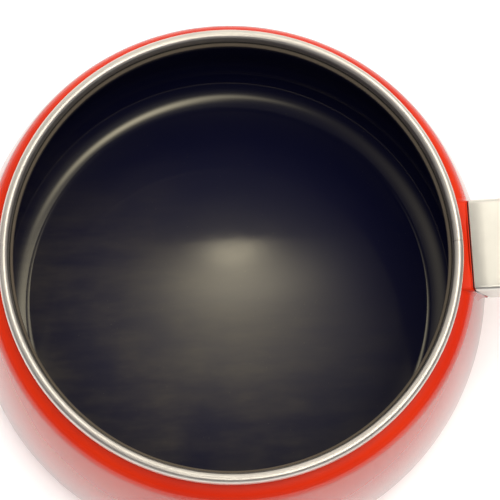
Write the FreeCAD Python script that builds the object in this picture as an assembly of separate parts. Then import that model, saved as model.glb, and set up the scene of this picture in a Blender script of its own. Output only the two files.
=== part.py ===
import FreeCAD, Part
import math
import os

# Bellied enamelled-steel saucepan with a stainless trim ring and one stick handle.
# Frame: origin at the centre of the base on the pot's axis, +Z up, +X along the handle. Millimetres.

Vec = FreeCAD.Vector

# ---- pot: driving dimensions ----
RIM_RADIUS = 90.0          # outside of the trim ring
RIM_HEIGHT = 99.0          # height of the trim ring's widest circle
RING_WIDTH = 4.0           # trim ring, inside edge to outside edge
RING_SHEET = 0.4
RING_OUTER_FOOT = 94.6     # underside of the ring's turned-in lip
RING_INNER_FOOT = 96.3     # lower edge of the ring's inner skirt
SEAM_GAP = 0.2             # butt seam of the trim ring, in line with the handle
BELLY_RADIUS = 107.0
BELLY_HEIGHT = 21.5        # height of the widest circle, also the radius of the lower corner
WALL_ARC = 205.0           # radius of the long arc of the flaring wall
SHOULDER_ARC = 8.0
NECK_RADIUS = 87.0         # outside of the neck, under the ring
NECK_ARC = 2.5             # hollow between the neck and the shoulder
NECK_HEIGHT = 93.5
COAT = 0.35                # thickness of each fired enamel coat
WALL = 2.4                 # steel and both coats together
FOOT_ANGLE = -82.0         # the lower corner is red above this angle and bare ground coat below it

# ---- handle: driving dimensions, along the handle's own axis ----
HANDLE_TILT = 5.0          # upward slope of the handle in degrees
HANDLE_START = Vec(94.8, 0.0, 83.4)
GUARD_LENGTH = 24.0
GUARD_WIDTH = 36.6
GUARD_DEPTH = 18.0
GUARD_CORNER = 1.8
GUARD_SHEET = 0.8
MITRE_RUN = 7.5            # how much further out the guard's lower edge starts than its upper edge
LUG_GAP = 0.8              # shadow gap between the lug's shoulder and the guard
LUG_END = 12.0             # end plate of the lug, where the grip butts against it
LUG_PLATE = 3.0
LUG_WALL = 2.2
LUG_REACH = -14.0          # the lug's root, inside the pot's wall before it is cut back
NUGGET_RADIUS = 0.9
NUGGET_DEPTH = 1.0         # how far each weld reaches into the lug from the steel wall
NUGGET_SPACING = 10.0      # between the three welds along the lower edge
NUGGET_DROP = 1.5          # of the two side welds, below the handle's axis
LUG_DISH_DEPTH = 1.6
LUG_DISH_WIDTH = 26.0
ROD_RADIUS = 2.5
ROD_START = 4.5
ROD_END = 183.0
NUT_FLATS = 8.0
NUT_HEIGHT = 4.0
GRIP_BORE = 3.0
GRIP_END = 172.0
CAP_END = 177.0
WASHER_OUTER = 4.6
WASHER_INNER = 2.6
WASHER_HEIGHT = 1.2
WASHER_SPLIT = 0.8
COLLAR_RADIUS = 5.5
COLLAR_LENGTH = 4.0
TONGUE_HALF = 2.5          # half the tongue's thickness
TONGUE_ROOT = 1.0          # the tongue starts this far inside the collar
EYE_CENTRE = 189.0
WIRE_RADIUS = 1.7
EYE_CLEARANCE = 0.08
LOOP_BAR_HALF = 8.0
LOOP_CORNER = 6.0
LOOP_HALF_WIDTH = LOOP_BAR_HALF + LOOP_CORNER
LOOP_LEG_END = 24.0

# Cross-sections of the grip: distance along the handle, width, depth, corner radius.
GRIP_SECTIONS = [
    (GUARD_LENGTH, 37.2, 18.6, 5.0),
    (36.0, 33.0, 18.2, 6.5),
    (64.0, 27.0, 18.6, 8.4),
    (106.0, 28.6, 20.2, 9.2),
    (146.0, 30.6, 19.8, 9.0),
    (GRIP_END, 24.0, 16.0, 7.4),
]
CAP_TIP = (17.0, 11.0, 5.2)


# ---- general helpers ----
def polar(centre, radius, degrees):
    turn = math.radians(degrees)
    return (centre[0] + radius * math.cos(turn), centre[1] + radius * math.sin(turn))


def profile_point(point):
    return Vec(point[0], 0.0, point[1])


def arc(centre, radius, start, end):
    ends = [profile_point(polar(centre, radius, a)) for a in (start, 0.5 * (start + end), end)]
    return Part.Arc(*ends).toShape()


def lines(points):
    spots = [profile_point(p) for p in points]
    return [Part.LineSegment(a, b).toShape() for a, b in zip(spots, spots[1:])]


def revolve(edges):
    face = Part.Face(Part.Wire(Part.__sortEdges__(edges)))
    return face.revolve(Vec(0, 0, 0), Vec(0, 0, 1), 360)


def meet(first, first_radius, second, second_radius):
    """The outer of the two points where two circles cross."""
    dx = second[0] - first[0]
    dz = second[1] - first[1]
    gap = math.hypot(dx, dz)
    along = (gap * gap + first_radius ** 2 - second_radius ** 2) / (2.0 * gap)
    side = math.sqrt(first_radius ** 2 - along ** 2)
    base = (first[0] + along * dx / gap, first[1] + along * dz / gap)
    crossings = [(base[0] + s * side * dz / gap, base[1] - s * side * dx / gap) for s in (1, -1)]
    return max(crossings, key=lambda p: p[0])


def angle_between(origin, target):
    return math.degrees(math.atan2(target[1] - origin[1], target[0] - origin[0]))


# ---- the pot's outline, at any depth below the outside surface ----
NECK_CENTRE = (NECK_RADIUS + NECK_ARC, NECK_HEIGHT)
WALL_CENTRE = (BELLY_RADIUS - WALL_ARC, BELLY_HEIGHT)
CORNER_CENTRE = (BELLY_RADIUS - BELLY_HEIGHT, BELLY_HEIGHT)
SHOULDER_CENTRE = meet(WALL_CENTRE, WALL_ARC - SHOULDER_ARC, NECK_CENTRE, NECK_ARC + SHOULDER_ARC)
NECK_ANGLE = angle_between(NECK_CENTRE, SHOULDER_CENTRE)
WALL_ANGLE = angle_between(WALL_CENTRE, SHOULDER_CENTRE)


def outline(depth, foot=-90.0):
    """Neck, shoulder, wall and lower corner, from the neck down, at a depth below the outside."""
    return [
        arc(NECK_CENTRE, NECK_ARC + depth, -180.0, NECK_ANGLE),
        arc(SHOULDER_CENTRE, SHOULDER_ARC - depth, NECK_ANGLE + 180.0, WALL_ANGLE),
        arc(WALL_CENTRE, WALL_ARC - depth, WALL_ANGLE, 0.0),
        arc(CORNER_CENTRE, BELLY_HEIGHT - depth, 0.0, foot),
    ]


def wall_radius(height, depth):
    """Radius of the flaring wall at a height, at a depth below the outside."""
    rise = height - BELLY_HEIGHT
    return WALL_CENTRE[0] + math.sqrt((WALL_ARC - depth) ** 2 - rise ** 2)


def neck_radius(depth):
    return NECK_RADIUS - depth


RING_CENTRE = (RIM_RADIUS - 0.5 * RING_WIDTH, RIM_HEIGHT)
RING_INNER = RIM_RADIUS - RING_WIDTH
BEAD_INNER = RING_INNER + RING_SHEET
BEAD_OUTER = RIM_RADIUS - RING_SHEET
BEAD_FOOT = RING_OUTER_FOOT + RING_SHEET
INNER_NECK = neck_radius(WALL)
INNER_STEEL = WALL - COAT


# ---- the vessel ----
def pot_body():
    """The drawn steel pressing, with its rolled rim bead and flat base."""
    bead_rise = BEAD_INNER - neck_radius(INNER_STEEL)
    rim = lines([
        (neck_radius(COAT), NECK_HEIGHT), (neck_radius(COAT), RING_OUTER_FOOT),
        (NECK_RADIUS, RING_OUTER_FOOT), (NECK_RADIUS, BEAD_FOOT),
        (BEAD_OUTER, BEAD_FOOT), (BEAD_OUTER, RIM_HEIGHT),
    ])
    rim.append(arc(RING_CENTRE, 0.5 * RING_WIDTH - RING_SHEET, 0.0, 180.0))
    rim += lines([
        (BEAD_INNER, RIM_HEIGHT), (BEAD_INNER, RING_INNER_FOOT),
        (neck_radius(INNER_STEEL), RING_INNER_FOOT - bead_rise), (neck_radius(INNER_STEEL), NECK_HEIGHT),
    ])
    base = lines([
        (CORNER_CENTRE[0], COAT), (0.0, COAT), (0.0, INNER_STEEL), (CORNER_CENTRE[0], INNER_STEEL),
    ])
    return revolve(rim + outline(COAT) + base + outline(INNER_STEEL))


def outer_enamel():
    """Red coat from the ring's lip down to the edge of the foot."""
    top = lines([
        (neck_radius(COAT), NECK_HEIGHT), (neck_radius(COAT), RING_OUTER_FOOT),
        (NECK_RADIUS, RING_OUTER_FOOT), (NECK_RADIUS, NECK_HEIGHT),
    ])
    edge = lines([
        polar(CORNER_CENTRE, BELLY_HEIGHT, FOOT_ANGLE),
        polar(CORNER_CENTRE, BELLY_HEIGHT - COAT, FOOT_ANGLE),
    ])
    return revolve(top + outline(0.0, FOOT_ANGLE) + edge + outline(COAT, FOOT_ANGLE))


def inner_enamel():
    """Dark coat over the whole inside, up to the ring's inner skirt."""
    rise = BEAD_INNER - neck_radius(INNER_STEEL)
    top = lines([
        (neck_radius(INNER_STEEL), NECK_HEIGHT), (neck_radius(INNER_STEEL), RING_INNER_FOOT - rise),
        (BEAD_INNER, RING_INNER_FOOT), (RING_INNER, RING_INNER_FOOT),
        (INNER_NECK, RING_INNER_FOOT - rise), (INNER_NECK, NECK_HEIGHT),
    ])
    floor = lines([
        (CORNER_CENTRE[0], INNER_STEEL), (0.0, INNER_STEEL), (0.0, WALL), (CORNER_CENTRE[0], WALL),
    ])
    return revolve(top + outline(INNER_STEEL) + floor + outline(WALL))


def base_enamel():
    """Dark ground coat under the flat base and round the start of the lower corner."""
    foot = [
        arc(CORNER_CENTRE, BELLY_HEIGHT, FOOT_ANGLE, -90.0),
        arc(CORNER_CENTRE, BELLY_HEIGHT - COAT, FOOT_ANGLE, -90.0),
    ]
    edge = lines([
        polar(CORNER_CENTRE, BELLY_HEIGHT, FOOT_ANGLE),
        polar(CORNER_CENTRE, BELLY_HEIGHT - COAT, FOOT_ANGLE),
    ])
    under = lines([(CORNER_CENTRE[0], 0.0), (0.0, 0.0), (0.0, COAT), (CORNER_CENTRE[0], COAT)])
    return revolve(foot + edge + under)


def trim_ring():
    """Stainless strip rolled over the rim bead, its two ends butted at the handle."""
    half = 0.5 * RING_WIDTH
    section = [
        arc(RING_CENTRE, half, 0.0, 180.0),
        arc(RING_CENTRE, half - RING_SHEET, 0.0, 180.0),
    ]
    section += lines([(RING_INNER, RIM_HEIGHT), (RING_INNER, RING_INNER_FOOT),
                      (BEAD_INNER, RING_INNER_FOOT), (BEAD_INNER, RIM_HEIGHT)])
    section += lines([(RIM_RADIUS, RIM_HEIGHT), (RIM_RADIUS, RING_OUTER_FOOT),
                      (NECK_RADIUS, RING_OUTER_FOOT), (NECK_RADIUS, BEAD_FOOT),
                      (BEAD_OUTER, BEAD_FOOT), (BEAD_OUTER, RIM_HEIGHT)])
    seam = Part.makeBox(2.0 * RING_WIDTH, SEAM_GAP, 4.0 * RING_WIDTH,
                        Vec(RING_INNER - half, -0.5 * SEAM_GAP, RIM_HEIGHT - 2.0 * RING_WIDTH))
    return revolve(section).cut(seam)


def filled_vessel(depth):
    """The space inside a surface at a depth below the outside, for cutting parts back to the wall."""
    top = lines([(neck_radius(depth), NECK_HEIGHT), (neck_radius(depth), RIM_HEIGHT),
                 (0.0, RIM_HEIGHT), (0.0, depth), (CORNER_CENTRE[0], depth)])
    return revolve(top + outline(depth))


# ---- the handle, built along +X from the guard's upper front edge ----
def section_wire(x, width, depth, corner):
    """Rounded rectangle across the handle's axis."""
    y = 0.5 * width - corner
    z = 0.5 * depth - corner
    bend = corner * math.sqrt(0.5)
    edges = []
    for sy, sz in ((1, 1), (-1, 1), (-1, -1), (1, -1)):
        side = Vec(x, sy * (y + corner), sz * z)
        middle = Vec(x, sy * (y + bend), sz * (z + bend))
        end = Vec(x, sy * y, sz * (z + corner))
        edges.append(Part.Arc(side, middle, end).toShape())
    for sy in (1, -1):
        edges.append(Part.LineSegment(Vec(x, sy * (y + corner), z), Vec(x, sy * (y + corner), -z)).toShape())
    for sz in (1, -1):
        edges.append(Part.LineSegment(Vec(x, y, sz * (z + corner)), Vec(x, -y, sz * (z + corner))).toShape())
    return Part.Wire(Part.__sortEdges__(edges))


def bar(start, end, width, depth, corner):
    face = Part.Face(section_wire(start, width, depth, corner))
    return face.extrude(Vec(end - start, 0, 0))


def rod(start, end, radius):
    return Part.makeCylinder(radius, end - start, Vec(start, 0, 0), Vec(1, 0, 0))


def mitre_block(gap):
    """Everything behind the guard's mitred front plane, moved back along the axis by a gap."""
    half = 0.5 * GUARD_DEPTH
    reach = 2.0
    run = MITRE_RUN * reach
    points = [
        (-gap - 0.5 * (run - MITRE_RUN), reach * half), (-gap + 0.5 * (run + MITRE_RUN), -reach * half),
        (-3.0 * GUARD_DEPTH, -reach * half), (-3.0 * GUARD_DEPTH, reach * half),
    ]
    corners = [Vec(x, -GUARD_WIDTH, z) for x, z in points]
    face = Part.Face(Part.makePolygon(corners + corners[:1]))
    return face.extrude(Vec(0, 2.0 * GUARD_WIDTH, 0))


SPIGOT_WIDTH = GUARD_WIDTH - 2.0 * GUARD_SHEET
SPIGOT_DEPTH = GUARD_DEPTH - 2.0 * GUARD_SHEET
SPIGOT_CORNER = GUARD_CORNER - GUARD_SHEET


def place(shape):
    """Move a part from the handle's own axis to its place on the pot."""
    shape.rotate(Vec(0, 0, 0), Vec(0, 1, 0), -HANDLE_TILT)
    shape.translate(HANDLE_START)
    return shape


def weld_nuggets():
    """Projection welds between the lug's root and the steel wall, as plugs before they are trimmed."""
    low = -0.5 * SPIGOT_DEPTH + 0.5 * LUG_WALL
    side = 0.5 * GUARD_WIDTH - 0.5 * (LUG_WALL + GUARD_SHEET)
    spots = [(k * NUGGET_SPACING, low) for k in (-1, 0, 1)]
    spots += [(side, -NUGGET_DROP), (-side, -NUGGET_DROP)]
    plugs = []
    for y, z in spots:
        plug = place(Part.makeCylinder(NUGGET_RADIUS, GUARD_LENGTH, Vec(LUG_REACH, y, z), Vec(1, 0, 0)))
        reach = wall_radius(HANDLE_START.z + z, COAT) + NUGGET_DEPTH
        plugs.append(plug.common(Part.makeCylinder(reach, RIM_HEIGHT)))
    return Part.makeCompound(plugs)


def lug_blank():
    """The lug's outside before it is cut back: a shoulder in front of the guard and a spigot inside."""
    shoulder = bar(LUG_REACH, LUG_END, GUARD_WIDTH, GUARD_DEPTH, GUARD_CORNER).common(mitre_block(LUG_GAP))
    spigot = bar(LUG_REACH, LUG_END, SPIGOT_WIDTH, SPIGOT_DEPTH, SPIGOT_CORNER)
    return shoulder.fuse(spigot).removeSplitter()


def handle_lug():
    """Pressed steel box bracket, enamelled red, with two raised cheeks in front of the guard."""
    dish_radius = (0.25 * LUG_DISH_WIDTH ** 2 + LUG_DISH_DEPTH ** 2) / (2.0 * LUG_DISH_DEPTH)
    dish_height = 0.5 * GUARD_DEPTH - LUG_DISH_DEPTH + dish_radius
    dish = rod(-3.0 * GUARD_DEPTH, GUARD_DEPTH, dish_radius)
    dish.translate(Vec(0, 0, dish_height))
    hollow = bar(LUG_REACH - 1.0, LUG_END - LUG_PLATE, SPIGOT_WIDTH - 2.0 * LUG_WALL,
                 SPIGOT_DEPTH - 2.0 * LUG_WALL, 1.0)
    lug = lug_blank().cut(dish.common(mitre_block(0.0)))
    lug = lug.cut(hollow).cut(rod(0.0, 2.0 * LUG_END, ROD_RADIUS))
    return place(lug).cut(filled_vessel(COAT)).cut(weld_nuggets())


def lug_nut():
    across = NUT_FLATS / math.cos(math.radians(30.0))
    start = LUG_END - LUG_PLATE - NUT_HEIGHT
    corners = [Vec(start, 0.5 * across * math.cos(math.radians(60.0 * k)),
                   0.5 * across * math.sin(math.radians(60.0 * k))) for k in range(7)]
    nut = Part.Face(Part.makePolygon(corners)).extrude(Vec(NUT_HEIGHT, 0, 0))
    return place(nut.cut(rod(start - 1.0, LUG_END, ROD_RADIUS)))


def flame_guard():
    """Stainless box sleeve over the lug and the grip's spigot, mitred to follow the wall."""
    sleeve = bar(0.0, GUARD_LENGTH, GUARD_WIDTH, GUARD_DEPTH, GUARD_CORNER)
    inside = bar(-1.0, GUARD_LENGTH + 1.0, SPIGOT_WIDTH, SPIGOT_DEPTH, SPIGOT_CORNER)
    return place(sleeve.cut(inside).cut(mitre_block(0.0)))


def grip():
    """Moulded grip with a spigot inside the guard and a bore for the tension rod."""
    body = Part.makeLoft([section_wire(*row) for row in GRIP_SECTIONS], True, False)
    spigot = bar(LUG_END, GUARD_LENGTH + 1.0, SPIGOT_WIDTH, SPIGOT_DEPTH, SPIGOT_CORNER)
    return place(body.fuse(spigot).cut(rod(0.0, CAP_END, GRIP_BORE)))


def tension_rod():
    return place(rod(ROD_START, ROD_END, ROD_RADIUS))


def end_cap():
    cap = Part.makeLoft([section_wire(*GRIP_SECTIONS[-1]), section_wire(CAP_END, *CAP_TIP)], True, True)
    return place(cap.cut(rod(GRIP_END - 1.0, CAP_END + 1.0, ROD_RADIUS)))


def lock_washer():
    washer = rod(CAP_END, CAP_END + WASHER_HEIGHT, WASHER_OUTER)
    split = Part.makeBox(2.0 * WASHER_HEIGHT, WASHER_SPLIT, 2.0 * WASHER_OUTER,
                         Vec(CAP_END - 0.5 * WASHER_HEIGHT, -0.5 * WASHER_SPLIT, 0))
    return place(washer.cut(rod(CAP_END - 1.0, CAP_END + 3.0, WASHER_INNER)).cut(split))


def eye_nut():
    """Round nut on the rod's end, with a flat tongue bored across for the hanging loop."""
    start = CAP_END + WASHER_HEIGHT
    collar = rod(start, start + COLLAR_LENGTH, COLLAR_RADIUS)
    tongue = Part.makeBox(EYE_CENTRE - start - TONGUE_ROOT, 2.0 * TONGUE_HALF, 2.0 * COLLAR_RADIUS,
                          Vec(start + TONGUE_ROOT, -TONGUE_HALF, -COLLAR_RADIUS))
    nose = Part.makeCylinder(COLLAR_RADIUS, 2.0 * TONGUE_HALF,
                             Vec(EYE_CENTRE, -TONGUE_HALF, 0), Vec(0, 1, 0))
    hole = Part.makeCylinder(WIRE_RADIUS + EYE_CLEARANCE, 4.0 * TONGUE_HALF,
                             Vec(EYE_CENTRE, -2.0 * TONGUE_HALF, 0), Vec(0, 1, 0))
    nut = collar.fuse([tongue, nose]).removeSplitter()
    return place(nut.cut(hole).cut(rod(start - 1.0, ROD_END, ROD_RADIUS)))


def eye_point():
    """Centre of the eye, where the hanging loop turns."""
    tilt = math.radians(HANDLE_TILT)
    return HANDLE_START + Vec(EYE_CENTRE * math.cos(tilt), 0, EYE_CENTRE * math.sin(tilt))


def hanging_loop():
    """Wire loop through the eye, hanging straight down."""
    def spot(y, drop):
        return Vec(0, y, -drop)

    bend = LOOP_CORNER * math.sqrt(0.5)
    top = Part.LineSegment(spot(-LOOP_BAR_HALF, 0), spot(LOOP_BAR_HALF, 0)).toShape()
    edges = [top]
    for side in (1, -1):
        edges.append(Part.Arc(spot(side * LOOP_BAR_HALF, 0),
                              spot(side * (LOOP_BAR_HALF + bend), LOOP_CORNER - bend),
                              spot(side * LOOP_HALF_WIDTH, LOOP_CORNER)).toShape())
        edges.append(Part.LineSegment(spot(side * LOOP_HALF_WIDTH, LOOP_CORNER),
                                      spot(side * LOOP_HALF_WIDTH, LOOP_LEG_END)).toShape())
    edges.append(Part.Arc(spot(-LOOP_HALF_WIDTH, LOOP_LEG_END),
                          spot(0, LOOP_LEG_END + LOOP_HALF_WIDTH),
                          spot(LOOP_HALF_WIDTH, LOOP_LEG_END)).toShape())
    path = Part.Wire(Part.__sortEdges__(edges))
    start = path.OrderedVertexes[0].Point
    first = path.OrderedEdges[0]
    direction = first.tangentAt(first.FirstParameter)
    circle = Part.Wire(Part.makeCircle(WIRE_RADIUS, start, direction))
    loop = path.makePipeShell([circle], True, True)
    loop.translate(eye_point())
    return loop


def build():
    return {
        "pot_body": pot_body(),
        "outer_enamel": outer_enamel().cut(place(lug_blank())),
        "inner_enamel": inner_enamel(),
        "base_enamel": base_enamel(),
        "trim_ring": trim_ring(),
        "handle_lug": handle_lug(),
        "lug_weld_nuggets": weld_nuggets().cut(filled_vessel(COAT)),
        "lug_nut": lug_nut(),
        "flame_guard": flame_guard(),
        "grip": grip(),
        "tension_rod": tension_rod(),
        "end_cap": end_cap(),
        "lock_washer": lock_washer(),
        "eye_nut": eye_nut(),
        "hanging_loop": hanging_loop(),
    }


os.makedirs("parts", exist_ok=True)
for name, shape in build().items():
    box = shape.BoundBox
    print(f"{name:18s} solids {len(shape.Solids)} valid {shape.isValid()} volume {shape.Volume:9.1f}",
          f"x {box.XMin:6.1f} {box.XMax:6.1f} y {box.YMin:6.1f} {box.YMax:6.1f}",
          f"z {box.ZMin:5.1f} {box.ZMax:5.1f}")
    shape.exportStep(f"parts/{name}.step")
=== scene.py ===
import math

import bmesh
import bpy
from mathutils import Matrix, Vector


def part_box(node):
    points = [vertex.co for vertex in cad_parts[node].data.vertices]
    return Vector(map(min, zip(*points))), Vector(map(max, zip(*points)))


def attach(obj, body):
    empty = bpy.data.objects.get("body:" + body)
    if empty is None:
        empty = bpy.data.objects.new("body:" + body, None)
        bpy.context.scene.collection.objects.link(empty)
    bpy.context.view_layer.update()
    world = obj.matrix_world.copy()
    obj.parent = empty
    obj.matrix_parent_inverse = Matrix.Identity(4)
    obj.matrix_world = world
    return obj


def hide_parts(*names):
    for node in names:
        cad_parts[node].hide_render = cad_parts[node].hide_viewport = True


# Looks of a bellied enamelled saucepan: red outside, dark inside, stainless trim ring, lug, box guard,
# moulded grip and a hanging loop. Metres, in the frame of the CAD model: origin at the centre of the base,
# +Z up, +X along the handle.

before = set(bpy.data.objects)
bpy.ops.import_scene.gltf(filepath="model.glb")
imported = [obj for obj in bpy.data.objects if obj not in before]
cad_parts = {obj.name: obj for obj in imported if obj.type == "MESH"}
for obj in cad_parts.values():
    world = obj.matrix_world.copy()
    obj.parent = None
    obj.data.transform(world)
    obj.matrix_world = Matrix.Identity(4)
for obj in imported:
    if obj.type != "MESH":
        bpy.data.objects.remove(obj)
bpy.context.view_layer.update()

MM = 0.001
AROUND = 288                  # steps round the pot's axis

# ---- the pot's outline: what the CAD boxes give, then the radii of its arcs ----
ring_low, ring_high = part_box("trim_ring")
coat_low, coat_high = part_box("outer_enamel")
RIM_RADIUS = ring_high.y
RING_FOOT = ring_low.z
BELLY_RADIUS = coat_high.y
RING_WIDTH = 4.0 * MM
RING_SHEET = 0.4 * MM
RING_INNER_FOOT = RING_FOOT + 1.7 * MM
SEAM_GAP = 0.2 * MM
RIM_HEIGHT = ring_high.z - 0.5 * RING_WIDTH
BELLY_HEIGHT = 21.5 * MM
WALL_ARC = 205.0 * MM
SHOULDER_ARC = 8.0 * MM
NECK_RADIUS = 87.0 * MM
NECK_ARC = 2.5 * MM
NECK_HEIGHT = 93.5 * MM
COAT = 0.35 * MM
WALL = 2.4 * MM
FOOT_ANGLE = -82.0

# ---- the handle, along its own axis ----
HANDLE_TILT = math.radians(5.0)
HANDLE_START = Vector((94.8, 0.0, 83.4)) * MM
GUARD_LENGTH = 24.0 * MM
GUARD_WIDTH = 36.6 * MM
GUARD_DEPTH = 18.0 * MM
GUARD_CORNER = 1.8 * MM
GUARD_SHEET = 0.8 * MM
MITRE_RUN = 7.5 * MM
LUG_GAP = 0.8 * MM
LUG_END = 12.0 * MM
GRIP_END = 172.0 * MM
CAP_END = 177.0 * MM
WASHER_HEIGHT = 1.2 * MM
WASHER_OUTER = 4.6 * MM
WASHER_INNER = 2.6 * MM
COLLAR_RADIUS = 5.5 * MM
COLLAR_LENGTH = 4.0 * MM
TONGUE_HALF = 2.5 * MM
EYE_CENTRE = 189.0 * MM
WIRE_RADIUS = 1.7 * MM
EYE_CLEARANCE = 0.08 * MM
FIT = 0.05 * MM               # clearance between a spigot and the sleeve round it


# ---- meshes ----
def make_object(name, points, faces, sharp_angle=35.0):
    mesh = bpy.data.meshes.new(name)
    mesh.from_pydata([tuple(p) for p in points], [], faces)
    turned = bmesh.new()
    turned.from_mesh(mesh)
    bmesh.ops.recalc_face_normals(turned, faces=turned.faces)
    turned.to_mesh(mesh)
    turned.free()
    mesh.shade_smooth()
    mesh.set_sharp_from_angle(angle=math.radians(sharp_angle))
    obj = bpy.data.objects.new(name, mesh)
    bpy.context.scene.collection.objects.link(obj)
    return obj


def skin(name, rows, close_rows=False, caps=False):
    """Quads between rings of points. The first and last rings are joined, capped or left open."""
    count = len(rows[0])
    points = [p for row in rows for p in row]
    faces = []
    for r in range(len(rows) if close_rows else len(rows) - 1):
        below = r * count
        above = ((r + 1) % len(rows)) * count
        for k in range(count):
            n = (k + 1) % count
            faces.append((below + k, below + n, above + n, above + k))
    if caps:
        last = (len(rows) - 1) * count
        faces.append(tuple(range(count)))
        faces.append(tuple(range(last, last + count)))
    return make_object(name, points, faces)


def lathe(name, section):
    """Turn a closed outline of (radius, height) points about the pot's axis. Points may lie on the axis."""
    points = []
    rings = []
    for r, z in section:
        first = len(points)
        if r == 0.0:
            points.append(Vector((0.0, 0.0, z)))
            rings.append([first] * AROUND)
        else:
            for k in range(AROUND):
                turn = math.tau * k / AROUND
                points.append(Vector((r * math.cos(turn), r * math.sin(turn), z)))
            rings.append(list(range(first, first + AROUND)))
    faces = []
    for here, there in zip(rings, rings[1:] + rings[:1]):
        if here[0] == here[1] and there[0] == there[1]:
            continue
        for k in range(AROUND):
            n = (k + 1) % AROUND
            corners = [here[k], here[n], there[n], there[k]]
            faces.append(tuple(dict.fromkeys(corners)))
    return make_object(name, points, faces)


def polar(centre, radius, degrees):
    turn = math.radians(degrees)
    return (centre[0] + radius * math.cos(turn), centre[1] + radius * math.sin(turn))


def arc(centre, radius, start, end, step=4.0):
    count = max(2, math.ceil(abs(end - start) / step))
    return [polar(centre, radius, start + (end - start) * k / count) for k in range(count + 1)]


def angle_between(origin, target):
    return math.degrees(math.atan2(target[1] - origin[1], target[0] - origin[0]))


def meet(first, first_radius, second, second_radius):
    """The outer of the two points where two circles cross."""
    dx = second[0] - first[0]
    dz = second[1] - first[1]
    gap = math.hypot(dx, dz)
    along = (gap * gap + first_radius ** 2 - second_radius ** 2) / (2.0 * gap)
    side = math.sqrt(first_radius ** 2 - along ** 2)
    base = (first[0] + along * dx / gap, first[1] + along * dz / gap)
    crossings = [(base[0] + s * side * dz / gap, base[1] - s * side * dx / gap) for s in (1, -1)]
    return max(crossings, key=lambda p: p[0])


# ---- the vessel ----
NECK_CENTRE = (NECK_RADIUS + NECK_ARC, NECK_HEIGHT)
WALL_CENTRE = (BELLY_RADIUS - WALL_ARC, BELLY_HEIGHT)
CORNER_CENTRE = (BELLY_RADIUS - BELLY_HEIGHT, BELLY_HEIGHT)
SHOULDER_CENTRE = meet(WALL_CENTRE, WALL_ARC - SHOULDER_ARC, NECK_CENTRE, NECK_ARC + SHOULDER_ARC)
NECK_ANGLE = angle_between(NECK_CENTRE, SHOULDER_CENTRE)
WALL_ANGLE = angle_between(WALL_CENTRE, SHOULDER_CENTRE)
SHOULDER_FOOT = polar(WALL_CENTRE, WALL_ARC, WALL_ANGLE)[1]
RING_INNER = RIM_RADIUS - RING_WIDTH
BEAD_INNER = RING_INNER + RING_SHEET
BEAD_OUTER = RIM_RADIUS - RING_SHEET
LIP_HEIGHT = RING_INNER_FOOT - BEAD_INNER + NECK_RADIUS - WALL + COAT


def outline(depth, foot=-90.0):
    """Neck, shoulder, wall and lower corner at a depth below the outside surface."""
    points = arc(NECK_CENTRE, NECK_ARC + depth, -180.0, NECK_ANGLE)
    points += arc(SHOULDER_CENTRE, SHOULDER_ARC - depth, NECK_ANGLE + 180.0, WALL_ANGLE)[1:]
    points += arc(WALL_CENTRE, WALL_ARC - depth, WALL_ANGLE, 0.0, step=1.0)[1:]
    if foot < 0.0:
        points += arc(CORNER_CENTRE, BELLY_HEIGHT - depth, 0.0, foot)[1:]
    return points


def outside_radius(height):
    """Radius of the red outside surface at a height between the belly and the ring."""
    if height > NECK_HEIGHT - NECK_ARC:
        drop = max(0.0, NECK_HEIGHT - height)
        return NECK_CENTRE[0] - math.sqrt(NECK_ARC ** 2 - drop ** 2)
    if height > SHOULDER_FOOT:
        rise = min(SHOULDER_ARC, height - SHOULDER_CENTRE[1])
        return SHOULDER_CENTRE[0] + math.sqrt(SHOULDER_ARC ** 2 - rise ** 2)
    return WALL_CENTRE[0] + math.sqrt(WALL_ARC ** 2 - (height - BELLY_HEIGHT) ** 2)


def outer_enamel():
    section = [(NECK_RADIUS - COAT, RING_FOOT), (NECK_RADIUS, RING_FOOT)]
    section += outline(0.0, FOOT_ANGLE)
    section += list(reversed(outline(COAT, FOOT_ANGLE)))
    return lathe("red_outside_coat", section)


def pooled(distance):
    """Extra thickness of the dark coat at a distance outwards from where it starts to pool on the floor."""
    slope = 0.035
    rise = 10.0 * MM
    fall = 12.0 * MM
    fade = 16.0 * MM
    if distance < rise:
        return 0.5 * slope * max(0.0, distance) ** 2 / rise
    beyond = min(distance - rise, fall)
    most = slope * (0.5 * rise + beyond - 0.5 * beyond ** 2 / fall)
    left = min(1.0, max(0.0, (distance - rise - fall) / fade))
    return most * (0.5 + 0.5 * math.cos(math.pi * left))


def inner_enamel():
    """Dark coat from the ring's inner skirt, over a rounded lip, down to the middle of the floor."""
    steel = WALL - COAT
    lip = 1.2 * MM
    lip_drop = 0.35 * MM
    section = [(NECK_RADIUS - steel, LIP_HEIGHT), (BEAD_INNER, RING_INNER_FOOT)]
    section += [(RING_INNER, RING_INNER_FOOT)]
    section += arc((NECK_RADIUS - WALL + lip, LIP_HEIGHT - lip_drop), lip, 135.0, 180.0, step=9.0)
    section += outline(WALL, foot=0.0)
    run_in = 8.5 * MM
    run_in_steps = 17
    radius = BELLY_HEIGHT - WALL
    for angle in range(-1, -90, -1):
        distance = run_in + radius * math.radians(90.0 + angle)
        section.append(polar(CORNER_CENTRE, radius - pooled(distance), angle))
    for k in range(run_in_steps + 1):
        distance = run_in * (1.0 - k / run_in_steps)
        section.append((CORNER_CENTRE[0] - run_in + distance, WALL + pooled(distance)))
    section += [((CORNER_CENTRE[0] - run_in) * s, WALL) for s in (0.75, 0.5, 0.25, 0.0)]
    section += [(0.0, steel)]
    section += list(reversed(outline(steel)))
    return lathe("dark_inside_coat", section)


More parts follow.
